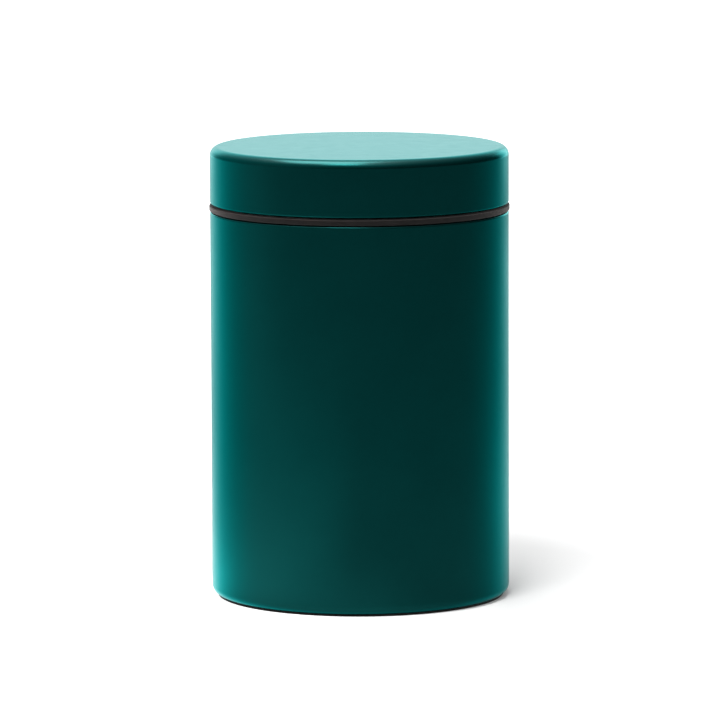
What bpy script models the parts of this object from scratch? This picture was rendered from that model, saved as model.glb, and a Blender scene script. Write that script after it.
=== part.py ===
"""Storage canister for powdered supplements: a painted steel can under a plug lid with a silicone seal.

Every size is in metres and +Z is up. The origin is the centre of the circle the canister stands on.
The can rests on a silicone pad let into its base. The lid is a painted steel cap and a stainless pan,
each bonded by a foam disc to one moulded core. The seal's band shows between the lid and the can, and
its sleeve goes down round the pan, where three fins wipe the inside of the can's mouth.
"""

import math

import bmesh
import bpy

# Overall sizes of the closed canister
DIAMETER = 0.110
HEIGHT = 0.1665
LID_HEIGHT = 0.021

# Painted steel sheet, and the corner radii that it is drawn to
SHEET = 0.0008
LID_CORNER = 0.0032
BASE_CORNER = 0.0033
CAP_HEM = 0.005

# Base of the can: a standing ring round a raised panel, with the pad in the recess
FOOT = 0.0009
STANDING_RING = 0.0009
PANEL_RISE = 0.0012
PAD_GRIP_DEPTH = 0.0004
PAD_LAND = 0.0026
PAD_GROOVE = 0.0011
PAD_GROOVES = 3

# Seal: the band that shows, and the finned sleeve in the mouth
BAND_HEIGHT = 0.0021
BAND_PROUD = 0.0003
BAND_ROUND = 0.0005
LIP_GAP = 0.0005
SEAL_REACH = 0.014
SLEEVE = 0.0019
FINS = 3
FIN_ROOT = 0.0013
FIN_TIP = 0.0006
FIN_SWEEP = 0.0009

# Plug: the stainless pan and how it sits in the mouth
PLUG_INSET = 0.0052
PLUG_BELOW_SEAL = 0.0055
PAN_SHEET = 0.0006
PAN_CORNER = 0.003
PAN_BEND = 0.001
PAN_FLANGE = 0.0038
PAN_BEAD = 0.0009

# Core: the black moulding that joins the cap and the pan
CORE_WALL = 0.0018
CORE_BOSS = 0.006
BOSS_STEP = 0.0005
RIB = 0.0014
RIBS = 8
SNAP_BEAD = 0.0005

# Foam bonding discs
FOAM = 0.0011
FOAM_MARGIN = 0.0065

# Gap left wherever two pieces touch
FIT = 0.0003

# Flat facets round every turned piece, and steps in a quarter circle of a corner and of a small bend
FACETS = 48
QUARTER = 4
BEND_QUARTER = 3

# Edges turned by more than this many degrees stay sharp, and points closer than this are one
SHARP = 30
MERGE = 0.000001

# Sizes that follow from the ones above
radius = DIAMETER / 2
mouth_radius = radius - 2 * SHEET
rim_z = HEIGHT - LID_HEIGHT - LIP_GAP - BAND_HEIGHT - FIT

# How far the second face of a sheet is shifted along where the sheet is folded by 45 degrees
fold = math.tan(math.radians(22.5))

# Heights in the lid and the seal are measured from the can's rim
band_low = FIT
band_top = band_low + BAND_HEIGHT
cap_low = band_top + LIP_GAP
lid_top = cap_low + LID_HEIGHT
core_flange_low = band_top + FIT
pan_top = band_top
pan_low = -SEAL_REACH - PLUG_BELOW_SEAL
pan_radius = mouth_radius - PLUG_INSET
pan_flange_radius = pan_radius + PAN_FLANGE
sleeve_inner = pan_radius + FIT
sleeve_outer = sleeve_inner + SLEEVE
fin_radius = mouth_radius - FIT
core_radius = mouth_radius - FIT
plug_core_radius = pan_radius - PAN_SHEET - FIT
pan_foam_low = pan_low + PAN_SHEET + FIT
core_low = pan_foam_low + FOAM + FIT
cap_foam_low = lid_top - SHEET - FIT - FOAM
rib_top = cap_foam_low - FIT
snap_low = cap_low + CAP_HEM + FIT
core_wall_top = lid_top - LID_CORNER - FIT
cap_foam_radius = core_radius - FOAM_MARGIN
pan_foam_radius = plug_core_radius - FOAM_MARGIN


def arc(x, z, r, start, end, steps=QUARTER):
    """Points of a circular arc about (x, z), from one angle to the other in degrees, both ends included."""
    turns = [math.radians(start + (end - start) * i / steps) for i in range(steps + 1)]
    return [(x + r * math.cos(a), z + r * math.sin(a)) for a in turns]


def material(name, colour, roughness, metallic=0.0):
    """A plain finish: base colour, roughness and whether it is bare metal."""
    made = bpy.data.materials.new(name)
    made.use_nodes = True
    shader = made.node_tree.nodes["Principled BSDF"]
    shader.inputs["Base Color"].default_value = (*colour, 1.0)
    shader.inputs["Roughness"].default_value = roughness
    shader.inputs["Metallic"].default_value = metallic
    made.diffuse_color = (*colour, 1.0)
    return made


def link(obj, collection):
    """Moves the object into the collection."""
    for other in list(obj.users_collection):
        other.objects.unlink(obj)
    collection.objects.link(obj)


def helper(obj):
    """Keeps a shape that is only joined or cut into another out of the render."""
    link(obj, helpers)
    obj.hide_render = True
    obj.display_type = "WIRE"
    return obj


def turned(name, profile, finish, parent):
    """A piece turned about Z from (radius, height) points, listed so that its outer side runs downwards.

    A profile that starts and ends on the axis is left open there, and any other is closed into a loop.
    """
    on_axis = profile[0][0] == 0 and profile[-1][0] == 0
    points = [(r, 0, z) for r, z in profile]
    edges = [(i, i + 1) for i in range(len(points) - 1)]
    if not on_axis:
        edges.append((len(points) - 1, 0))
    mesh = bpy.data.meshes.new(name)
    mesh.from_pydata(points, edges, [])
    obj = bpy.data.objects.new(name, mesh)
    link(obj, pieces)
    obj.parent = parent
    obj.data.materials.append(finish)
    screw = obj.modifiers.new("Turn", "SCREW")
    screw.axis = "Z"
    screw.angle = math.tau
    screw.steps = FACETS
    screw.render_steps = FACETS
    screw.use_merge_vertices = True
    screw.merge_threshold = MERGE
    return obj


def mesh_of(obj):
    """A plain mesh of the object as its modifiers leave it, with doubled points merged."""
    graph = bpy.context.evaluated_depsgraph_get()
    mesh = bpy.data.meshes.new_from_object(obj.evaluated_get(graph))
    work = bmesh.new()
    work.from_mesh(mesh)
    bmesh.ops.remove_doubles(work, verts=work.verts, dist=MERGE)
    work.to_mesh(mesh)
    work.free()
    return mesh


def finish_mesh(obj):
    """Applies the modifiers, and shades the piece smooth but for its sharp edges."""
    mesh = mesh_of(obj)
    obj.modifiers.clear()
    obj.data = mesh
    mesh.shade_smooth()
    mesh.set_sharp_from_angle(angle=math.radians(SHARP))
    return obj


def plate(name, outline, thickness, turn, parent):
    """A flat plate standing on edge: an outline in X and Z, given its thickness along Y, turned about Z."""
    curve = bpy.data.curves.new(name, "CURVE")
    curve.dimensions = "2D"
    curve.fill_mode = "BOTH"
    curve.extrude = thickness / 2
    line = curve.splines.new("POLY")
    line.points.add(len(outline) - 1)
    for point, (x, z) in zip(line.points, outline):
        point.co = (x, z, 0, 1)
    line.use_cyclic_u = True
    drawn = bpy.data.objects.new(name, curve)
    link(drawn, helpers)
    bpy.context.view_layer.update()
    solid = bpy.data.objects.new(name, mesh_of(drawn))
    bpy.data.objects.remove(drawn)
    solid.rotation_euler = (math.pi / 2, 0, turn)
    solid.parent = parent
    return helper(solid)


def join(obj, other):
    """Adds a union with another solid to the object's modifiers."""
    union = obj.modifiers.new("Join " + other.name, "BOOLEAN")
    union.operation = "UNION"
    union.object = other


def body_shell():
    """The drawn can: base, wall and a rim whose sheet is folded inwards and down, flat against the wall."""
    foot_radius = radius - BASE_CORNER
    step_low = foot_radius - STANDING_RING
    step_top = step_low - PANEL_RISE
    step_shift = SHEET * fold
    panel = FOOT + PANEL_RISE
    corner_z = FOOT + BASE_CORNER
    hem_low = rim_z - SEAL_REACH
    profile = [(0, panel + SHEET)]
    profile += [(step_top + step_shift, panel + SHEET), (step_low + step_shift, FOOT + SHEET)]
    profile += arc(foot_radius, corner_z, BASE_CORNER - SHEET, -90, 0)
    profile += [(radius - SHEET, hem_low), (mouth_radius, hem_low + SHEET)]
    profile += arc(mouth_radius + SHEET, rim_z - SHEET, SHEET, 180, 0, 2 * QUARTER)
    profile += arc(foot_radius, corner_z, BASE_CORNER, 0, -90)
    profile += [(step_low, FOOT), (step_top, panel), (0, panel)]
    return turned("body_shell", profile, green_paint, can)


def base_pad():
    """The silicone pad in the base recess. It stands on a grooved ring, its middle clear of the table."""
    edge = radius - BASE_CORNER - STANDING_RING - FIT
    top = FOOT + PANEL_RISE - FIT
    chamfer = top - FOOT
    profile = [(0, top), (edge - chamfer, top), (edge, FOOT), (edge, 0)]
    r = edge
    for _ in range(PAD_GROOVES):
        r -= PAD_LAND
        profile += [(r, 0), (r, PAD_GRIP_DEPTH)]
        r -= PAD_GROOVE
        profile += [(r, PAD_GRIP_DEPTH), (r, 0)]
    r -= PAD_LAND
    profile += [(r, 0), (r, PAD_GRIP_DEPTH), (0, PAD_GRIP_DEPTH)]
    return turned("base_pad", profile, black_silicone, can)


def seal_ring():
    """The silicone seal: the band on the rim, a rebate for the pan's flange, and the finned sleeve."""
    out = radius + BAND_PROUD
    rebate = pan_top - PAN_SHEET - FIT
    profile = [(pan_flange_radius + FIT, band_top)]
    profile += arc(out - BAND_ROUND, band_top - BAND_ROUND, BAND_ROUND, 90, 0, BEND_QUARTER)
    profile += arc(out - BAND_ROUND, band_low + BAND_ROUND, BAND_ROUND, 0, -90, BEND_QUARTER)
    profile.append((sleeve_outer, band_low))
    pitch = SEAL_REACH / (FINS + 1)
    for i in range(FINS):
        root = -pitch * (i + 1)
        tip = root + FIN_SWEEP
        profile += [(sleeve_outer, root + FIN_ROOT / 2), (fin_radius, tip + FIN_TIP / 2)]
        profile += [(fin_radius, tip - FIN_TIP / 2), (sleeve_outer, root - FIN_ROOT / 2)]
    profile += [(sleeve_outer, -SEAL_REACH + SLEEVE / 2), (sleeve_outer - SLEEVE / 2, -SEAL_REACH)]
    profile += [(sleeve_inner, -SEAL_REACH), (sleeve_inner, rebate - PAN_BEND)]
    profile += [(sleeve_inner + PAN_BEND, rebate), (pan_flange_radius + FIT, rebate)]
    return turned("seal_ring", profile, black_silicone, seal)


def plug_pan():
    """The stainless pan that is the underside of the lid, with a flange round its mouth.

    The seal hangs on the pan: it is stretched over a bead rolled into the wall, just below the sleeve.
    """
    bend_z = pan_top - PAN_SHEET - PAN_BEND
    corner_z = pan_low + PAN_CORNER
    floor_radius = pan_radius - PAN_CORNER
    bead_top = -SEAL_REACH - FIT
    bead_shift = PAN_SHEET * fold
    inner = pan_radius - PAN_SHEET
    profile = [(0, pan_low + PAN_SHEET)]
    profile += arc(floor_radius, corner_z, PAN_CORNER - PAN_SHEET, -90, 0)
    profile += [(inner, bead_top - 2 * PAN_BEAD + bead_shift), (inner + PAN_BEAD, bead_top - PAN_BEAD)]
    profile.append((inner, bead_top - bead_shift))
    profile += arc(pan_radius + PAN_BEND, bend_z, PAN_BEND + PAN_SHEET, 180, 90, BEND_QUARTER)
    profile += [(pan_flange_radius, pan_top), (pan_flange_radius, pan_top - PAN_SHEET)]
    profile += arc(pan_radius + PAN_BEND, bend_z, PAN_BEND, 90, 180, BEND_QUARTER)
    profile += [(pan_radius, bead_top), (pan_radius + PAN_BEAD, bead_top - PAN_BEAD)]
    profile.append((pan_radius, bead_top - 2 * PAN_BEAD))
    profile += arc(floor_radius, corner_z, PAN_CORNER, 0, -90)
    profile.append((0, pan_low))
    return turned("plug_pan", profile, bare_steel, lid)


def lid_cap():
    """The drawn steel cap, with its lower edge folded inwards and up."""
    corner_x = radius - LID_CORNER
    corner_z = lid_top - LID_CORNER
    profile = [(0, lid_top)]
    profile += arc(corner_x, corner_z, LID_CORNER, 90, 0)
    profile += arc(mouth_radius + SHEET, cap_low + SHEET, SHEET, 0, -180, 2 * QUARTER)
    profile += [(mouth_radius, cap_low + CAP_HEM - SHEET), (radius - SHEET, cap_low + CAP_HEM)]
    profile += arc(corner_x, corner_z, LID_CORNER - SHEET, 0, 90)
    profile.append((0, lid_top - SHEET))
    return turned("lid_cap", profile, green_paint, lid)


def lid_core():
    """The moulding inside the lid: a tub in the pan, a flange over the seal, and a wall in the cap.

    Ribs run from a boss in the middle to the wall, and a bead snaps over the cap's folded edge.
    """
    tub_inner = plug_core_radius - CORE_WALL
    tub_floor = core_low + CORE_WALL
    flange_top = core_flange_low + CORE_WALL
    wall_inner = core_radius - CORE_WALL
    profile = [(0, tub_floor), (tub_inner - PAN_CORNER, tub_floor), (tub_inner, tub_floor + PAN_CORNER)]
    profile += [(tub_inner, flange_top), (wall_inner, flange_top), (wall_inner, core_wall_top)]
    profile += [(core_radius, core_wall_top), (core_radius, snap_low + 2 * SNAP_BEAD)]
    profile += [(core_radius + SNAP_BEAD, snap_low + SNAP_BEAD), (core_radius + SNAP_BEAD, snap_low)]
    profile += [(core_radius, snap_low), (core_radius, core_flange_low)]
    profile += [(plug_core_radius, core_flange_low), (plug_core_radius, core_low + PAN_CORNER)]
    profile += [(plug_core_radius - PAN_CORNER, core_low), (0, core_low)]
    core = turned("lid_core", profile, black_moulding, lid)
    sink = CORE_WALL / 2
    sunk_low = core_low + sink
    boss_inner = CORE_BOSS - CORE_WALL
    boss_top = rib_top - BOSS_STEP
    ring = [(CORE_BOSS, boss_top), (CORE_BOSS, sunk_low), (boss_inner, sunk_low), (boss_inner, boss_top)]
    join(core, helper(turned("boss", ring, black_moulding, lid)))
    tub_reach = tub_inner + sink
    wall_reach = wall_inner + sink
    outline = [(CORE_BOSS - sink, sunk_low), (tub_reach - PAN_CORNER, sunk_low)]
    outline += [(tub_reach, sunk_low + PAN_CORNER), (tub_reach, flange_top - sink)]
    outline += [(wall_reach, flange_top - sink), (wall_reach, core_wall_top - CORE_WALL)]
    outline += [(cap_foam_radius, rib_top), (CORE_BOSS - sink, rib_top)]
    for i in range(RIBS):
        join(core, plate(f"rib_{i + 1}", outline, RIB, math.tau * i / RIBS, lid))
    return core


def foam_disc(name, disc_radius, low):
    """One of the two flat foam discs that bond the lid's metal to its core."""
    profile = [(0, low + FOAM), (disc_radius, low + FOAM), (disc_radius, low), (0, low)]
    return turned(name, profile, grey_foam, lid)


for old in list(bpy.data.objects):
    bpy.data.objects.remove(old)

pieces = bpy.data.collections.new("supplement_canister")
helpers = bpy.data.collections.new("helpers")
bpy.context.scene.collection.children.link(pieces)
bpy.context.scene.collection.children.link(helpers)

green_paint = material("green_paint", (0.0, 0.075, 0.068), 0.38)
black_silicone = material("black_silicone", (0.018, 0.017, 0.017), 0.6)
black_moulding = material("black_moulding", (0.012, 0.012, 0.012), 0.5)
bare_steel = material("bare_steel", (0.56, 0.56, 0.55), 0.3, 1.0)
grey_foam = material("grey_foam", (0.12, 0.12, 0.12), 0.9)

# The can stays put. The seal lifts with the lid, and the lid can also turn in the seal: both axes are Z.
can = bpy.data.objects.new("can", None)
seal = bpy.data.objects.new("seal", None)
lid = bpy.data.objects.new("lid", None)
for empty in (can, seal, lid):
    pieces.objects.link(empty)
seal.parent = can
seal.location = (0, 0, rim_z)
lid.parent = seal
bpy.context.view_layer.update()

made = [body_shell(), base_pad(), seal_ring(), plug_pan(), lid_cap(), lid_core()]
made.append(foam_disc("cap_bonding_disc", cap_foam_radius, cap_foam_low))
made.append(foam_disc("pan_bonding_disc", pan_foam_radius, pan_foam_low))
bpy.context.view_layer.update()
for piece in made:
    finish_mesh(piece)
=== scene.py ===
# %% [markdown]
# # A painted steel canister with a plug lid
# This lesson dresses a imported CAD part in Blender, one piece at a time. The canister is a drawn steel can
# with a satin teal coat. Its lid is a painted cap over a stainless pan, and a silicone seal shows between
# lid and can as a thin dark band. Nearly everything is round, so most pieces are turned from an outline,
# and the real work is in how satin paint, silicone and bare steel answer the light.

import math

import bmesh
import bpy
from mathutils import Matrix, Vector


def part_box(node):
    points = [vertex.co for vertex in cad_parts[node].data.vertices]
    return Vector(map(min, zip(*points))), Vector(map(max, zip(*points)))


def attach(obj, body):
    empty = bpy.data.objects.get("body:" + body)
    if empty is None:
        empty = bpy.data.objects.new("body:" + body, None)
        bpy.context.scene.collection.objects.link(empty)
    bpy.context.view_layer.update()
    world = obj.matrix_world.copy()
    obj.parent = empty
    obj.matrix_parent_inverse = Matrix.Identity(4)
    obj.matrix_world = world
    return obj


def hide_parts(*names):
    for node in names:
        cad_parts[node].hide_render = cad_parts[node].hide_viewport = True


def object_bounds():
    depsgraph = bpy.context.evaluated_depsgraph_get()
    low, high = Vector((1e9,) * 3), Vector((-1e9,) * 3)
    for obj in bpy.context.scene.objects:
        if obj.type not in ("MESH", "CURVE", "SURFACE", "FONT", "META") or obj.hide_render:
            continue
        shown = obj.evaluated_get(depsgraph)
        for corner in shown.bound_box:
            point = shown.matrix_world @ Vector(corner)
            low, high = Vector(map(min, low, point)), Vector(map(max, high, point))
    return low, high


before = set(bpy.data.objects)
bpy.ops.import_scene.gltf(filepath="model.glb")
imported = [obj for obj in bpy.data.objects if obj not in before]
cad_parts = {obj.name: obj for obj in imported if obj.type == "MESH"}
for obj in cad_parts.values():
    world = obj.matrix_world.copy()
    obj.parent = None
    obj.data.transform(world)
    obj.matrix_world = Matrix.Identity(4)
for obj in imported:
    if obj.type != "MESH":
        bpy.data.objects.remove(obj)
cad_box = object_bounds()
scene = bpy.context.scene
scene.view_settings.view_transform = "Standard"
print("CAD box in mm:", [round(side * 1000, 1) for side in cad_box[1] - cad_box[0]])

# %% [markdown]
# ## Camera
# A product photograph is taken with a long lens from far away, so that the sides of a can stay upright and
# its lid is a flat ellipse. The place and the lens could be judged by eye. Here they were fitted to the
# ellipses of the rim and the base, which fixes the distance, the height and the slight lean of the picture.

# %% Camera
CAMERA_BACK = 2.3353
CAMERA_UP = 0.4019
LOOKS_DOWN = math.radians(7.6822)
LEAN = math.radians(0.21)
LENS = 319.05

camera = bpy.data.objects.new("camera", bpy.data.cameras.new("camera"))
scene.collection.objects.link(camera)
camera.data.lens = LENS
camera.data.clip_end = 50
view_turn = Matrix.Rotation(math.pi / 2 - LOOKS_DOWN, 4, "X") @ Matrix.Rotation(-LEAN, 4, "Z")
camera.matrix_world = Matrix.Translation((0, -CAMERA_BACK, CAMERA_UP)) @ view_turn
scene.camera = camera
print("camera at", [round(c, 3) for c in camera.location])

# %% [markdown]
# ## Shader helpers
# Light and finishes are both worked out by small nodes that feed one another. Wired by hand they take a
# page of links, so a few helpers do it: a sum or a product, the three parts of a vector, its length, and a
# slope between two levels. The last helper picks a value by the kind of ray that arrives, so that the
# camera, a reflection and the soft light can each meet a studio of their own.

# %% Shader helpers
def math_node(tree, operation, first, *others):
    """Joins the values by one operation, from the first to the last. Each is a socket or a number."""
    result = first
    for other in others:
        node = tree.nodes.new("ShaderNodeMath")
        node.operation = operation
        for slot, value in zip(node.inputs, (result, other)):
            if isinstance(value, (int, float)):
                slot.default_value = value
            else:
                tree.links.new(value, slot)
        result = node.outputs[0]
    return result


def xyz(tree, vector):
    """The three parts of a vector."""
    node = tree.nodes.new("ShaderNodeSeparateXYZ")
    tree.links.new(vector, node.inputs[0])
    return tuple(node.outputs)


def length(tree, vector):
    """How long a vector is."""
    node = tree.nodes.new("ShaderNodeVectorMath")
    node.operation = "LENGTH"
    tree.links.new(vector, node.inputs[0])
    return node.outputs["Value"]


def ramp(tree, value, low, high, start, end):
    """Start below low, end above high, and a straight slope between them."""
    node = tree.nodes.new("ShaderNodeMapRange")
    for name, number in (("From Min", low), ("From Max", high), ("To Min", start), ("To Max", end)):
        node.inputs[name].default_value = number
    tree.links.new(value, node.inputs["Value"])
    return node.outputs["Result"]


def pick(tree, camera_value, reflected_value, light_value):
    """The first value for camera rays, the second for glossy and transmission rays, else the third."""
    path = tree.nodes.new("ShaderNodeLightPath").outputs
    reflected = math_node(tree, "MAXIMUM", path["Is Glossy Ray"], path["Is Transmission Ray"])
    plain = math_node(tree, "SUBTRACT", 1.0, math_node(tree, "MAXIMUM", path["Is Camera Ray"], reflected))
    parts = [
        math_node(tree, "MULTIPLY", path["Is Camera Ray"], camera_value),
        math_node(tree, "MULTIPLY", reflected, reflected_value),
        math_node(tree, "MULTIPLY", plain, light_value),
    ]
    return math_node(tree, "ADD", *parts)


print("shader helpers ready")

# %% [markdown]
# ## Studio surroundings
# The canister stands in a white studio whose far wall is bright and whose camera side is dark, because that
# is where a photographer stands and hangs black cloth. An even white world would be simpler, but it would
# leave the front of the can as pale as its edges. So in reflections the world has a white far wall, a
# dimmer left wall and a bright ceiling that dims towards the right, and is black elsewhere. It gives an
# even soft light, and the camera itself sees plain white. Each pair of numbers says where a slope starts
# and ends, measured along one axis of a direction that is one unit long.

# %% Studio surroundings
REAR_REFLECTION = 1.7
REAR_SIDES, REAR_FROM = (0.14, 0.67), (0, 0.25)
LEFT_REFLECTION = 0.95
LEFT_SIDE = (-1, -0.3)
WALLS_END = (0.5, 0.8)
CEILING_LOW, CEILING_HIGH = 0.35, 2.8
CEILING_CLIMB, CEILING_FROM = (0.4, 0.9), (0.1, 0.3)
CEILING_AT_RIGHT, CEILING_DIMS = 0.45, (0.25, 0.5)
SOFT_LIGHT = 0.65

world = bpy.data.worlds.new("white_studio")
world.use_nodes = True
scene.world = world
tree = world.node_tree
x, y, z = xyz(tree, tree.nodes.new("ShaderNodeTexCoord").outputs["Generated"])
far_wall = math_node(
    tree,
    "MULTIPLY",
    ramp(tree, math_node(tree, "ABSOLUTE", x, 0), *REAR_SIDES, REAR_REFLECTION, 0),
    ramp(tree, y, *REAR_FROM, 0, 1),
)
left_wall = ramp(tree, x, *LEFT_SIDE, LEFT_REFLECTION, 0)
walls = math_node(tree, "ADD", far_wall, left_wall)
walls = math_node(tree, "MULTIPLY", walls, ramp(tree, z, *WALLS_END, 1, 0))
ceiling = math_node(
    tree,
    "MULTIPLY",
    ramp(tree, z, *CEILING_CLIMB, CEILING_LOW, CEILING_HIGH),
    ramp(tree, z, *CEILING_FROM, 0, 1),
    ramp(tree, x, *CEILING_DIMS, 1, CEILING_AT_RIGHT),
)
reflected = math_node(tree, "ADD", walls, ceiling)
background = tree.nodes["Background"]
background.inputs["Color"].default_value = (1, 1, 1, 1)
tree.links.new(pick(tree, 1.0, reflected, SOFT_LIGHT), background.inputs["Strength"])
print("in reflections: rear", REAR_REFLECTION, "left", LEFT_REFLECTION, "ceiling up to", CEILING_HIGH)

# %% [markdown]
# ## Floor finish
# Far from the lamps a floor that is only lit comes out grey, so a share of its white is given off to the
# camera, more with distance. Near the canister it is ordinary diffuse white, which keeps the soft shadow,
# apart from a narrow glow round the foot on the side away from the shadow. In reflections the floor also
# glows broadly at the left, as under a low window, less at the right and at the rear, and close to the
# foot, which lights the rounded corner of the base. Without that the corner would mirror the can's own
# shadow. Each glow is a product of slopes: along x, along y, and with the distance from the axis. A pair of
# numbers says where a slope starts and ends, in metres.

# %% Floor finish
FLOOR_PAINT = 0.85
GLOW_NEAR, GLOW_FAR = 0.0, 1.0
GLOW_STARTS, GLOW_ENDS = 0.12, 0.7
SEAM_GLOW, SEAM_REACH = 0.9, 0.075
SHADOW_SIDE = (-0.02, 0.055)
PATCH_GLOW, PATCH_REACH = 1.9, 0.5
PATCH_AT_FOOT, PATCH_FULL_FROM = 0.35, 0.09
PATCH_BEHIND = 0.5
PATCH_X, PATCH_Y = (-0.1, -0.02), (0.02, 0.15)
WINDOW_GLOW = 0.9
WINDOW_X, WINDOW_Y = (-0.5, -0.1), (-0.6, -0.2)
RIGHT_GLOW, RIGHT_FADES = 0.45, (0.25, 0.55)
RIGHT_X, RIGHT_Y = (0.08, 0.25), (0, 0.1)
FOOT_GLOW, FOOT_REACH = 1.5, 0.2
FOOT_X, FOOT_Y = (-0.02, 0.06), (0, 0.06)
REAR_GLOW, REAR_Y = 0.15, (0, 0.6)


def floor_glows(tree, x, y, distance):
    """What the floor gives off in reflections, as the sum of its glows."""
    foot_edge = cad_box[1].x
    left_patch = math_node(
        tree,
        "MULTIPLY",
        ramp(tree, distance, GLOW_STARTS, PATCH_REACH, PATCH_GLOW, 0),
        ramp(tree, x, *PATCH_X, 1, 0),
        ramp(tree, distance, foot_edge, PATCH_FULL_FROM, PATCH_AT_FOOT, 1),
        ramp(tree, y, *PATCH_Y, 1, PATCH_BEHIND),
    )
    left_window = math_node(
        tree,
        "MULTIPLY",
        ramp(tree, x, *WINDOW_X, WINDOW_GLOW, 0),
        ramp(tree, y, *WINDOW_Y, 0, 1),
    )
    right_side = math_node(
        tree,
        "MULTIPLY",
        ramp(tree, x, *RIGHT_X, 0, RIGHT_GLOW),
        ramp(tree, y, *RIGHT_Y, 0, 1),
        ramp(tree, distance, *RIGHT_FADES, 1, 0),
    )
    front_foot = math_node(
        tree,
        "MULTIPLY",
        ramp(tree, distance, foot_edge, FOOT_REACH, FOOT_GLOW, 0),
        ramp(tree, x, *FOOT_X, 1, 0),
        ramp(tree, y, *FOOT_Y, 1, 0),
    )
    rear = ramp(tree, y, *REAR_Y, 0, REAR_GLOW)
    return math_node(tree, "ADD", rear, left_patch, left_window, right_side, front_foot)


def floor_finish():
    """White that shows a shadow, and that glows where it is seen far from the lamp."""
    made = bpy.data.materials.new("studio_floor")
    made.use_nodes = True
    tree = made.node_tree
    tree.nodes.clear()
    diffuse = tree.nodes.new("ShaderNodeBsdfDiffuse")
    diffuse.inputs["Color"].default_value = (FLOOR_PAINT, FLOOR_PAINT, FLOOR_PAINT, 1)
    place = tree.nodes.new("ShaderNodeTexCoord").outputs["Object"]
    distance = length(tree, place)
    x, y, _ = xyz(tree, place)
    far = ramp(tree, distance, GLOW_STARTS, GLOW_ENDS, GLOW_NEAR, GLOW_FAR)
    away = ramp(tree, x, *SHADOW_SIDE, SEAM_GLOW, 0)
    seam = ramp(tree, distance, cad_box[1].x, SEAM_REACH, 1, 0)
    seen = math_node(tree, "ADD", far, math_node(tree, "MULTIPLY", seam, away))
    glow = tree.nodes.new("ShaderNodeEmission")
    tree.links.new(pick(tree, seen, floor_glows(tree, x, y, distance), 0.0), glow.inputs["Strength"])
    both = tree.nodes.new("ShaderNodeAddShader")
    tree.links.new(diffuse.outputs[0], both.inputs[0])
    tree.links.new(glow.outputs[0], both.inputs[1])
    out = tree.nodes.new("ShaderNodeOutputMaterial")
    tree.links.new(both.outputs[0], out.inputs["Surface"])
    return made


floor_white = floor_finish()
print("floor finish ready:", floor_white.name)

# %% [markdown]
# ## Floor
# A studio floor is a wide roll of pale paper. A flat disc does for it here, because it reaches so far that
# the camera never finds its edge.

# %% Floor
FLOOR_REACH = 6.0

work = bmesh.new()
bmesh.ops.create_circle(work, cap_ends=True, segments=64, radius=FLOOR_REACH)
floor_mesh = bpy.data.meshes.new("studio_floor")
work.to_mesh(floor_mesh)
work.free()
floor = bpy.data.objects.new("studio_floor", floor_mesh)
scene.collection.objects.link(floor)
floor_mesh.materials.append(floor_white)
print("floor", FLOOR_REACH * 2, "m across")

# %% [markdown]
# ## Lamps
# Two soft boxes hang over the canister. The larger one is straight above, and the smaller and brighter one
# is nearer the camera and a little to the left, which sends the shadow to the rear right. The larger one
# only lights, and a square card to its left only shows in reflections, so the bright line along the lid's
# rounded edge can be placed and sized by itself. The coat's shine holds back red, so the card has a red
# tint, and its line comes out nearly white. Two dim boxes at the rear help the edges of the wall. A lamp's
# power is worked out from the brightness that its face should have.

# %% Lamps
def soft_box(name, place, aim, wide, tall, brightness):
    """A lamp with a rectangular face. A face of brightness 1 is as bright as white paper."""
    lamp = bpy.data.lights.new(name, "AREA")
    lamp.shape = "RECTANGLE"
    lamp.size = wide
    lamp.size_y = tall
    lamp.energy = brightness * math.pi * wide * tall
    obj = bpy.data.objects.new(name, lamp)
    scene.collection.objects.link(obj)
    towards = (Vector(aim) - Vector(place)).to_track_quat("-Z", "Y")
    obj.matrix_world = Matrix.Translation(place) @ towards.to_matrix().to_4x4()
    obj.visible_camera = False
    print(name, "power", round(lamp.energy, 2), "W")
    return obj


LID_CENTRE = (0, 0, cad_box[1].z)
CAN_CENTRE = (0, 0, cad_box[1].z / 2)
CARD_AIM = (-0.23, 0.11, cad_box[1].z)
CARD_COLOUR = (1, 0.55, 0.55)
overhead = soft_box("overhead_box", (-0.05, 0, 1.2), LID_CENTRE, 0.6, 0.5, 5.8)
overhead.visible_glossy = False
soft_box("key_box", (-0.165, -0.55, 1.08), LID_CENTRE, 0.35, 0.35, 21)
soft_box("left_rear_box", (-0.45, 1.0, 0.3), CAN_CENTRE, 0.35, 0.5, 1.1)
soft_box("right_rear_box", (0.55, 1.0, 0.3), CAN_CENTRE, 0.45, 0.5, 2.2)
card = soft_box("reflection_card", (-0.27, -0.03, 1.1), CARD_AIM, 0.7, 0.7, 32)
card.data.color = CARD_COLOUR
card.visible_diffuse = False

# %% [markdown]
# ## Turned pieces
# A pressed can, a moulded ring and a spun pan all share one recipe: an outline turned about the axis. The
# outline starts as a few corner points joined by straight edges. Each corner then gets its own radius with
# a vertex bevel, which is quicker to change than a list of points along every arc. A spin makes the skin,
# and a weighted normal keeps the long flat walls free of the shading that their small corners would smear
# on them.

# %% Turned pieces
STEPS = 256
MERGE = 1e-7
SHARP = math.radians(35)
ROUND_STEPS = 8
CUBIC_CM = 1e-6


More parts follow.
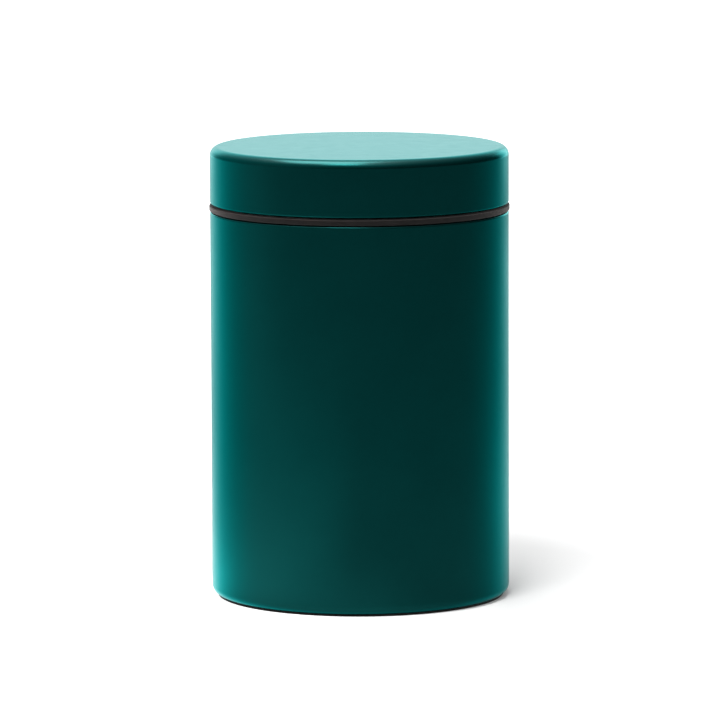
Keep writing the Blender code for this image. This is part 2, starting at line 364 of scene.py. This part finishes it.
def turn(work, corners, finish=0, ring=False):
    """Spins one outline of (radius, height, corner radius) points, and gives its faces a finish number."""
    points = [work.verts.new((r, 0, z)) for r, z, _ in corners]
    for a, b in zip(points, points[1:]):
        work.edges.new((a, b))
    if ring:
        work.edges.new((points[-1], points[0]))
    old_faces = set(work.faces)
    old_edges = {e for f in work.faces for e in f.edges}
    for point, (_, _, soft) in zip(points, corners):
        if soft:
            bmesh.ops.bevel(
                work,
                geom=[point],
                offset=soft,
                offset_type="OFFSET",
                segments=ROUND_STEPS,
                profile=0.5,
                affect="VERTICES",
                material=-1,
            )
    wire = [e for e in work.edges if e not in old_edges]
    ends = list({v for e in wire for v in e.verts})
    bmesh.ops.spin(
        work,
        geom=ends + wire,
        cent=(0, 0, 0),
        axis=(0, 0, 1),
        angle=math.tau,
        steps=STEPS,
        use_merge=True,
    )
    for face in work.faces:
        if face not in old_faces:
            face.material_index = finish


def piece(name, work, finishes, body, node):
    """Closes and shades the mesh, and makes it a piece that rides on a body and stands for a CAD node."""
    bmesh.ops.remove_doubles(work, verts=work.verts, dist=MERGE)
    bmesh.ops.recalc_face_normals(work, faces=work.faces)
    open_edges = sum(not e.is_manifold for e in work.edges)
    volume = work.calc_volume() / CUBIC_CM
    mesh = bpy.data.meshes.new(name)
    work.to_mesh(mesh)
    work.free()
    mesh.shade_smooth()
    mesh.set_sharp_from_angle(angle=SHARP)
    for finish in finishes:
        mesh.materials.append(finish)
    obj = bpy.data.objects.new(name, mesh)
    scene.collection.objects.link(obj)
    even = obj.modifiers.new("even_shading", "WEIGHTED_NORMAL")
    even.keep_sharp = True
    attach(obj, body)
    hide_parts(node)
    print(f"{name}: {len(mesh.polygons)} faces, {open_edges} open edges, {volume:.2f} cm3")


print("outlines are turned in", STEPS, "steps")

# %% [markdown]
# ## Sizes from the frame
# A piece that replaces a CAD node has to fill the same place. Its radii and heights are read from the boxes
# of the CAD nodes, and only what a box can't tell, such as a sheet's thickness, is written here. Where a
# sheet bends by 45 degrees, the bend of its inner side lies a little further along, and that share is
# worked out too.

# %% Sizes from the frame
MM = 0.001
SHEET = 0.8 * MM
PAN_SHEET = 0.6 * MM
BEND_SHIFT = math.tan(math.radians(45 / 2))


def reach(node):
    """A round CAD node's radius, lowest point and highest point."""
    low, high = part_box(node)
    return high.x, low.z, high.z


can_radius, foot_z, rim_z = reach("body_shell")
pad_radius, _, pad_top = reach("base_pad")
band_radius, sleeve_low, band_top = reach("seal_ring")
flange_radius, pan_low, _ = reach("plug_pan")
cap_radius, cap_low, cap_top = reach("lid_cap")
mouth_radius = can_radius - 2 * SHEET
for what, size in (("can radius", can_radius), ("rim height", rim_z), ("lid top", cap_top)):
    print(what, round(size / MM, 2), "mm")

# %% [markdown]
# ## Finishes
# A finish is a small tree of nodes around one Principled shader. Fine pattern comes from noise on Object
# coordinates: the objects stay at the origin, so a pattern in metres sits still on its piece. The helpers
# below make the shader, a noise, a colour that drifts between two tones and a bump of a real depth, and
# feed them to the shader.

# %% Finish helpers
NOISE_SPAN = (0.3, 0.7)


def new_finish(name, **plain):
    """A material, its Principled shader with the plain values on its own sockets, and its coordinates."""
    made = bpy.data.materials.new(name)
    made.use_nodes = True
    shader = made.node_tree.nodes["Principled BSDF"]
    for socket, value in plain.items():
        shader.inputs[socket.replace("_", " ")].default_value = value
    place = made.node_tree.nodes.new("ShaderNodeTexCoord")
    return made, shader, place.outputs["Object"]


def noise(made, place, size, detail=2.0, stretch=(1, 1, 1)):
    """Noise whose lumps are about the given size in metres, stretched along the axes."""
    tree = made.node_tree
    mapping = tree.nodes.new("ShaderNodeMapping")
    mapping.inputs["Scale"].default_value = stretch
    tree.links.new(place, mapping.inputs["Vector"])
    texture = tree.nodes.new("ShaderNodeTexNoise")
    texture.inputs["Scale"].default_value = 1 / size
    texture.inputs["Detail"].default_value = detail
    tree.links.new(mapping.outputs["Vector"], texture.inputs["Vector"])
    return texture.outputs["Fac"]


def between(made, fac, low, high):
    """A value that runs from low to high as the noise does."""
    return ramp(made.node_tree, fac, *NOISE_SPAN, low, high)


def two_tone(made, fac, one, other):
    """A colour that drifts between two tones as the noise does."""
    mix = made.node_tree.nodes.new("ShaderNodeMix")
    mix.data_type = "RGBA"
    made.node_tree.links.new(between(made, fac, 0, 1), mix.inputs["Factor"])
    mix.inputs["A"].default_value = (*one, 1)
    mix.inputs["B"].default_value = (*other, 1)
    return mix.outputs["Result"]


def bump(made, height, depth, under=None):
    """Turns a pattern into relief of a real depth in metres, over another relief if one is given."""
    relief = made.node_tree.nodes.new("ShaderNodeBump")
    relief.inputs["Distance"].default_value = depth
    made.node_tree.links.new(height, relief.inputs["Height"])
    if under:
        made.node_tree.links.new(under, relief.inputs["Normal"])
    return relief.outputs["Normal"]


def feed(made, shader, tone, roughness, relief):
    """Gives the shader its colour, its roughness and its relief."""
    for socket, value in (("Base Color", tone), ("Roughness", roughness), ("Normal", relief)):
        made.node_tree.links.new(value, shader.inputs[socket])


print("finish helpers ready")

# %% [markdown]
# ## Satin teal coat
# Powder coat is sprayed on as dust and melted into a skin. Seen straight on it is nearly black teal, and at
# a glance it turns pale and milky. Plain paint with a clear gloss would go grey long before the edges. Most
# of this finish is a dim metal instead, whose edge tint holds back the red until the very edge. The melted
# powder levels best where it lies flat, so faces that look up get a thin clear gloss on top. A can hangs
# while its coat melts, so the lowest part of the wall comes out a touch glossier too. A faint ripple with a
# finer grain over it is what the dust leaves behind.

# %% Satin teal coat
TEAL_TONES = (0.0008, 0.026, 0.025), (0.001, 0.0285, 0.0273)
TEAL_ROUGHNESS = (0.24, 0.26)
TONE_SIZE, ROUGHNESS_SIZE = 0.03, 0.004
RIPPLE_SIZE, RIPPLE_DEPTH = 0.0018, 2e-6
GRAIN_SIZE, GRAIN_DEPTH = 0.0003, 1e-6
SLOPE_GLOSS, GLOSSY_SLOPES = 0.1, (0.35, 0.7)
FOOT_GLOSS, FOOT_GLOSS_HEIGHT = 0.02, 0.06


def clear_gloss(made, place):
    """A share of clear gloss: most on faces that look up, none on the wall, a little at its foot."""
    tree = made.node_tree
    facing = tree.nodes.new("ShaderNodeTexCoord").outputs["Normal"]
    _, _, looks_up = xyz(tree, facing)
    _, _, height = xyz(tree, place)
    slopes = ramp(tree, looks_up, *GLOSSY_SLOPES, 0, SLOPE_GLOSS)
    foot = ramp(tree, height, 0, FOOT_GLOSS_HEIGHT, FOOT_GLOSS, 0)
    return math_node(tree, "ADD", slopes, foot)


def teal_coat():
    """Dark satin paint that turns pale at a glance."""
    made, shader, place = new_finish(
        "satin_teal_coat",
        Metallic=0.8,
        Specular_IOR_Level=0.0,
        Specular_Tint=(0.45, 1, 1, 1),
        Coat_Roughness=0.36,
    )
    tone = two_tone(made, noise(made, place, TONE_SIZE), *TEAL_TONES)
    roughness = between(made, noise(made, place, ROUGHNESS_SIZE), *TEAL_ROUGHNESS)
    ripple = bump(made, noise(made, place, RIPPLE_SIZE), RIPPLE_DEPTH)
    grain = bump(made, noise(made, place, GRAIN_SIZE), GRAIN_DEPTH, ripple)
    feed(made, shader, tone, roughness, grain)
    made.node_tree.links.new(clear_gloss(made, place), shader.inputs["Coat Weight"])
    return made


teal = teal_coat()
print("coat ready:", teal.name)

# %% [markdown]
# ## Bare steel
# The inside of the can and the pan are stainless steel, polished while they turn, so the fine lines run
# round the axis. A brushed look could be painted with an image. Here a one-way noise reads only the radius
# plus the height, which gives rings on a flat floor and hoops on an upright wall from one pattern.

# %% Bare steel
STEEL_TONES = (0.46, 0.48, 0.485), (0.56, 0.58, 0.585)
STEEL_ROUGHNESS = (0.22, 0.36)
FINE_LINE, BROAD_LINE, LINE_DEPTH = 0.00025, 0.0012, 4e-6


def turned_steel():
    """Bright metal with lines that run round the axis."""
    made, shader, place = new_finish("turned_steel", Metallic=1.0)
    tree = made.node_tree
    flat = tree.nodes.new("ShaderNodeVectorMath")
    flat.operation = "MULTIPLY"
    flat.inputs[1].default_value = (1, 1, 0)
    tree.links.new(place, flat.inputs[0])
    _, _, height = xyz(tree, place)
    along = math_node(tree, "ADD", length(tree, flat.outputs[0]), height)
    lines = []
    for size in (FINE_LINE, BROAD_LINE):
        rings = tree.nodes.new("ShaderNodeTexNoise")
        rings.noise_dimensions = "1D"
        rings.inputs["Scale"].default_value = 1 / size
        rings.inputs["Detail"].default_value = 3
        tree.links.new(along, rings.inputs["W"])
        lines.append(rings.outputs["Fac"])
    fine, broad = lines
    tone = two_tone(made, broad, *STEEL_TONES)
    feed(made, shader, tone, between(made, fine, *STEEL_ROUGHNESS), bump(made, fine, LINE_DEPTH))
    return made


steel = turned_steel()
print("steel ready:", steel.name)

# %% [markdown]
# ## Black silicone
# The seal and the pad are moulded silicone. It is a near black with a breath of warmth, and it holds a
# little dust, so its tone is not even and it greys at a grazing angle. A sheen gives that grey better than
# gloss.

# %% Black silicone
SILICONE_TONES = (0.0055, 0.0052, 0.0051), (0.0115, 0.0107, 0.0103)
SILICONE_ROUGHNESS = (0.6, 0.72)
DUST_SIZE, DUST_STRETCH = 0.004, (1, 1, 3)
SKIN_SIZE, SKIN_DEPTH = 0.0004, 3e-6


def silicone():
    """Near black rubber with a little dust on it."""
    made, shader, place = new_finish(
        "black_silicone_rubber",
        IOR=1.41,
        Specular_IOR_Level=0.08,
        Sheen_Weight=0.2,
        Sheen_Roughness=0.4,
        Sheen_Tint=(1, 0.93, 0.92, 1),
    )
    dust = noise(made, place, DUST_SIZE, 4, DUST_STRETCH)
    tone = two_tone(made, dust, *SILICONE_TONES)
    relief = bump(made, noise(made, place, SKIN_SIZE, 3), SKIN_DEPTH)
    feed(made, shader, tone, between(made, dust, *SILICONE_ROUGHNESS), relief)
    return made


rubber = silicone()
print("silicone ready:", rubber.name)

# %% [markdown]
# ## Black moulding and grey foam
# Neither of these shows until the lid is taken apart, yet each has its own surface. A mould that was eroded
# by sparks leaves a fine even grain on plastic. Cut foam is a field of open cells, which a Voronoi pattern
# draws at once, while a plain noise would look like felt. The same pattern darkens the grey down in each
# cell, as painted shade in its hollow.

# %% Black moulding and grey foam
PLASTIC_TONES = (0.0105, 0.0105, 0.0108), (0.0145, 0.0142, 0.014)
PLASTIC_ROUGHNESS = (0.44, 0.54)
FLOW_SIZE = 0.02
SPARK_SIZE, SPARK_DEPTH = 0.00035, 8e-6
# The darker foam grey is painted shade, laid where each cell is deepest.
FOAM_GREY_AND_CELL_SHADE = (0.085, 0.085, 0.088), (0.15, 0.15, 0.15)
FOAM_ROUGHNESS = (0.86, 0.96)
CELL_SIZE, CELL_DEPTH = 0.0006, 8e-5


def moulded_plastic():
    """Black plastic with the even grain of an eroded mould."""
    made, shader, place = new_finish("black_moulded_plastic", Specular_IOR_Level=0.4)
    flow = noise(made, place, FLOW_SIZE, 3)
    relief = bump(made, noise(made, place, SPARK_SIZE), SPARK_DEPTH)
    feed(made, shader, two_tone(made, flow, *PLASTIC_TONES), between(made, flow, *PLASTIC_ROUGHNESS), relief)
    return made


def open_foam():
    """Grey foam with its cells cut open, and painted shade in the hollow of each cell."""
    made, shader, place = new_finish("grey_open_foam", Specular_IOR_Level=0.2, Sheen_Weight=0.3)
    cells = made.node_tree.nodes.new("ShaderNodeTexVoronoi")
    cells.inputs["Scale"].default_value = 1 / CELL_SIZE
    made.node_tree.links.new(place, cells.inputs["Vector"])
    depth = cells.outputs["Distance"]
    relief = bump(made, depth, CELL_DEPTH)
    # The tone follows the same cell depth as the relief, so each hollow is painted darker: painted shade.
    feed(made, shader, two_tone(made, depth, *FOAM_GREY_AND_CELL_SHADE), between(made, depth, *FOAM_ROUGHNESS), relief)
    return made


moulding = moulded_plastic()
foam = open_foam()
print("inner finishes ready:", moulding.name, "and", foam.name)

# %% [markdown]
# ## Can
# The can is drawn from one sheet: a raised panel inside a standing ring, a rounded corner, a straight wall,
# and a rim where the sheet is folded inwards and pressed flat. The ring stops just above the table, because
# the can stands on its pad. The outline is turned in two runs, so that the coat ends just inside the rim
# and the inside stays bare steel.

# %% Can
BASE_CORNER = 3.3 * MM
STANDING_RING = 0.9 * MM
RING_DROP = 0.3 * MM
PANEL_RISE = 1.2 * MM
COAT_TURNS_IN = 1.6 * MM
HEM = 14.0 * MM

step_low = can_radius - BASE_CORNER - STANDING_RING
step_top = step_low - PANEL_RISE
ring_z = foot_z - RING_DROP
panel_z = foot_z + PANEL_RISE
sheet_shift = SHEET * BEND_SHIFT

work = bmesh.new()
coated = [
    (0, panel_z, 0),
    (step_top, panel_z, 0.5 * MM),
    (step_low, ring_z, 0.4 * MM),
    (can_radius, ring_z, BASE_CORNER),
    (can_radius, rim_z, SHEET),
    (mouth_radius, rim_z, SHEET),
    (mouth_radius, rim_z - COAT_TURNS_IN, 0),
]
bare = [
    (mouth_radius, rim_z - COAT_TURNS_IN, 0),
    (mouth_radius, rim_z - HEM, 0.6 * MM),
    (can_radius - SHEET, rim_z - HEM, 0),
    (can_radius - SHEET, ring_z + SHEET, BASE_CORNER - SHEET),
    (step_low + sheet_shift, ring_z + SHEET, 0.4 * MM),
    (step_top + sheet_shift, panel_z + SHEET, 0.5 * MM),
    (0, panel_z + SHEET, 0),
]
turn(work, coated, 0)
turn(work, bare, 1)
piece("can_wall_and_base", work, [teal, steel], "can", "body_shell")

# %% [markdown]
# ## Pad under the base
# A silicone pad is let into the base so the steel never touches the table. Only its outer ring stands on
# the table, cut by three fine grooves for grip. A thin lip runs out from it, under the standing ring and
# part of the rounded corner, and the edge of that lip is the dark line under the coat.

# %% Pad under the base
PAD_LAND = 2.6 * MM
PAD_GROOVE = 1.1 * MM
PAD_GROOVES = 3
PAD_DEPTH = 0.4 * MM
LIP_REACH = 2.4 * MM
LIP_GAP = 0.12 * MM
LIP_ROUND = 0.2 * MM
EDGE_BREAK = 0.12 * MM

work = bmesh.new()
chamfer = pad_top - foot_z
lip_radius = pad_radius + LIP_REACH
lip_top = ring_z - LIP_GAP
outline = [(0, pad_top, 0), (pad_radius - chamfer, pad_top, 0.2 * MM), (pad_radius, foot_z, 0.1 * MM)]
outline += [(pad_radius, lip_top, 0), (lip_radius, lip_top, LIP_ROUND), (lip_radius, 0, LIP_ROUND)]
r = pad_radius
for _ in range(PAD_GROOVES):
    r -= PAD_LAND
    outline += [(r, 0, EDGE_BREAK), (r, PAD_DEPTH, EDGE_BREAK)]
    r -= PAD_GROOVE
    outline += [(r, PAD_DEPTH, EDGE_BREAK), (r, 0, EDGE_BREAK)]
r -= PAD_LAND
outline += [(r, 0, EDGE_BREAK), (r, PAD_DEPTH, EDGE_BREAK), (0, PAD_DEPTH, 0)]
turn(work, outline)
piece("silicone_foot_pad", work, [rubber], "can", "base_pad")

# %% [markdown]
# ## Seal
# The seal is one moulding. Its band shows all round between lid and can, and stands a little proud of both.
# Below it a sleeve hangs in the can's mouth with three fins that wipe the wall. The fins are swept up, with
# soft tips, because a mould can't fill a knife edge.

# %% Seal
SLEEVE_INNER = 48.5 * MM
SLEEVE_OUTER = 50.4 * MM
FIN_RADIUS = mouth_radius - 0.3 * MM
FIN_ROOT = 1.3 * MM
FIN_TIP = 0.6 * MM
FIN_SWEEP = 0.9 * MM
FINS = 3
BAND_ROUND = 0.45 * MM
BAND_TOP_ROUND = 0.25 * MM
BAND_STEP = 0.2 * MM
CLEAR = 0.3 * MM

band_low = rim_z + CLEAR
band_face = band_top - BAND_STEP
rebate_z = band_top - PAN_SHEET - CLEAR
rebate_radius = flange_radius + CLEAR
pitch = (rim_z - sleeve_low) / (FINS + 1)
work = bmesh.new()
outline = [(rebate_radius, band_top, 0.15 * MM), (rebate_radius + 0.8 * MM, band_top, 0.3 * MM)]
outline += [(can_radius - 1.0 * MM, band_face, 0.3 * MM), (band_radius, band_face, BAND_TOP_ROUND)]
outline += [(band_radius, band_low, BAND_ROUND), (SLEEVE_OUTER, band_low, 0.3 * MM)]
for i in range(FINS):
    root = rim_z - pitch * (i + 1)
    tip = root + FIN_SWEEP
    outline += [(SLEEVE_OUTER, root + FIN_ROOT / 2, 0.3 * MM), (FIN_RADIUS, tip + FIN_TIP / 2, 0.28 * MM)]
    outline += [(FIN_RADIUS, tip - FIN_TIP / 2, 0.28 * MM), (SLEEVE_OUTER, root - FIN_ROOT / 2, 0.3 * MM)]
outline += [(SLEEVE_OUTER, sleeve_low, 0.9 * MM), (SLEEVE_INNER, sleeve_low, 0.3 * MM)]
outline += [(SLEEVE_INNER, rebate_z, 1.0 * MM), (rebate_radius, rebate_z, 0)]
turn(work, outline, ring=True)
piece("seal_moulding", work, [rubber], "seal", "seal_ring")

# %% [markdown]
# ## Pan
# The underside of the lid is a stainless pan. Its wall has a small bead rolled outwards, which holds the
# sleeve up, and its mouth is turned out into a flange. The outline is only the outer side of the sheet, and
# the same points moved in by the sheet's thickness close it.

# %% Pan
PAN_RADIUS = 48.2 * MM
PAN_CORNER = 3.0 * MM
PAN_BEND = 1.0 * MM
BEAD = 0.9 * MM

bead_top = sleeve_low - CLEAR
bead_shift = PAN_SHEET * BEND_SHIFT
flange_low = band_top - PAN_SHEET
inner = PAN_RADIUS - PAN_SHEET
work = bmesh.new()
outline = [
    (0, pan_low, 0),
    (PAN_RADIUS, pan_low, PAN_CORNER),
    (PAN_RADIUS, bead_top - 2 * BEAD, 0.3 * MM),
    (PAN_RADIUS + BEAD, bead_top - BEAD, 0.5 * MM),
    (PAN_RADIUS, bead_top, 0.3 * MM),
    (PAN_RADIUS, flange_low, PAN_BEND),
    (flange_radius, flange_low, 0),
    (flange_radius, band_top, 0),
    (inner, band_top, PAN_BEND + PAN_SHEET),
    (inner, bead_top - bead_shift, 0.2 * MM),
    (inner + BEAD, bead_top - BEAD, 0.3 * MM),
    (inner, bead_top - 2 * BEAD + bead_shift, 0.2 * MM),
    (inner, pan_low + PAN_SHEET, PAN_CORNER - PAN_SHEET),
    (0, pan_low + PAN_SHEET, 0),
]
turn(work, outline)
piece("lid_pan", work, [steel], "lid", "plug_pan")

# %% [markdown]
# ## Cap
# The cap is drawn like the can, with a flat top, a soft shoulder and its lower edge folded in. The
# shoulder's radius matters most: it sets the width of the bright line that the card draws along it.

# %% Cap
LID_CORNER = 3.2 * MM
CAP_HEM = 5.0 * MM

work = bmesh.new()
outline = [
    (0, cap_top, 0),
    (cap_radius, cap_top, LID_CORNER),
    (cap_radius, cap_low, SHEET),
    (mouth_radius, cap_low, SHEET),
    (mouth_radius, cap_low + CAP_HEM, 0.2 * MM),
    (cap_radius - SHEET, cap_low + CAP_HEM, 0),
    (cap_radius - SHEET, cap_top - SHEET, LID_CORNER - SHEET),
    (0, cap_top - SHEET, 0),
]
turn(work, outline)
piece("lid_cap_shell", work, [teal], "lid", "lid_cap")

# %% [markdown]
# ## Core
# The core is the black moulding that joins the cap to the pan. Its tub, flange and wall are one outline,
# spun. Eight ribs stand in it like the spokes of a wheel. Each is an upright plate: a flat outline, given
# its thickness by extruding it, softened along every edge and turned to its place. The plates sink a little
# into the tub, which reads as one moulding and takes far less time than a true union.

# %% Core
CORE_WALL = 1.8 * MM
SNAP = 0.5 * MM
BOSS_RADIUS = 6.0 * MM
BOSS_STEP = 0.5 * MM
RIB = 1.4 * MM
RIBS = 8
RIB_EDGE = 0.2 * MM

core_radius = mouth_radius - CLEAR
tub_radius = inner - CLEAR
_, core_low, rib_top = reach("lid_core")
foam_radius, _, _ = reach("cap_bonding_disc")
flange_z = band_top + CLEAR
flange_top = flange_z + CORE_WALL
wall_top = cap_top - LID_CORNER - CLEAR
snap_z = cap_low + CAP_HEM + CLEAR
sink = CORE_WALL / 2

work = bmesh.new()
outline = [
    (0, core_low + CORE_WALL, 0),
    (tub_radius - CORE_WALL, core_low + CORE_WALL, PAN_CORNER),
    (tub_radius - CORE_WALL, flange_top, 0.5 * MM),
    (core_radius - CORE_WALL, flange_top, 0.8 * MM),
    (core_radius - CORE_WALL, wall_top, 0.4 * MM),
    (core_radius, wall_top, 0.4 * MM),
    (core_radius, snap_z + 2 * SNAP, 0.2 * MM),
    (core_radius + SNAP, snap_z + SNAP, 0.15 * MM),
    (core_radius + SNAP, snap_z, 0.15 * MM),
    (core_radius, snap_z, 0),
    (core_radius, flange_z, 0.4 * MM),
    (tub_radius, flange_z, 0.8 * MM),
    (tub_radius, core_low, PAN_CORNER),
    (0, core_low, 0),
]
turn(work, outline)
boss_top = rib_top - BOSS_STEP
boss = [(BOSS_RADIUS, boss_top, 0.4 * MM), (BOSS_RADIUS, core_low + sink, 0)]
boss += [(BOSS_RADIUS - CORE_WALL, core_low + sink, 0), (BOSS_RADIUS - CORE_WALL, boss_top, 0.4 * MM)]
turn(work, boss, ring=True)


def rib(work, outline, turned_by):
    """One upright plate from (radius, height) points, softened and turned about the axis."""
    flat = work.faces.new([work.verts.new((r, -RIB / 2, z)) for r, z in outline])
    grown = bmesh.ops.extrude_face_region(work, geom=[flat], use_keep_orig=True)["geom"]
    far_points = [v for v in grown if isinstance(v, bmesh.types.BMVert)]
    bmesh.ops.translate(work, verts=far_points, vec=(0, RIB, 0))
    points = list(flat.verts) + far_points
    edges = list({e for v in points for e in v.link_edges})
    softened = bmesh.ops.bevel(
        work,
        geom=edges,
        offset=RIB_EDGE,
        offset_type="OFFSET",
        segments=3,
        profile=0.5,
        affect="EDGES",
        material=-1,
    )
    plate = {v for f in softened["faces"] for v in f.verts}
    plate |= {v for p in list(plate) for f in p.link_faces for v in f.verts}
    bmesh.ops.rotate(work, cent=(0, 0, 0), matrix=Matrix.Rotation(turned_by, 3, "Z"), verts=list(plate))


tub_reach = tub_radius - CORE_WALL + sink
wall_reach = core_radius - CORE_WALL + sink
plate_outline = [
    (BOSS_RADIUS - sink, core_low + sink),
    (tub_reach - PAN_CORNER, core_low + sink),
    (tub_reach, core_low + sink + PAN_CORNER),
    (tub_reach, flange_top - sink),
    (wall_reach, flange_top - sink),
    (wall_reach, wall_top - CORE_WALL),
    (foam_radius, rib_top),
    (BOSS_RADIUS - sink, rib_top),
]
for i in range(RIBS):
    rib(work, plate_outline, math.tau * i / RIBS)
piece("lid_core_moulding", work, [moulding], "lid", "lid_core")

# %% [markdown]
# ## Foam discs
# Two grey foam discs, sticky on both sides, hold the cap and the pan to the core. They are punched out of
# sheet, and the punch squeezes the edge, so each rim is a little round.

# %% Foam discs
FOAM_EDGE = 0.35 * MM

for name, node in (("foam_under_cap", "cap_bonding_disc"), ("foam_over_pan", "pan_bonding_disc")):
    disc_radius, disc_low, disc_top = reach(node)
    work = bmesh.new()
    outline = [(0, disc_low, 0), (disc_radius, disc_low, FOAM_EDGE)]
    outline += [(disc_radius, disc_top, FOAM_EDGE), (0, disc_top, 0)]
    turn(work, outline)
    piece(name, work, [foam], "lid", node)
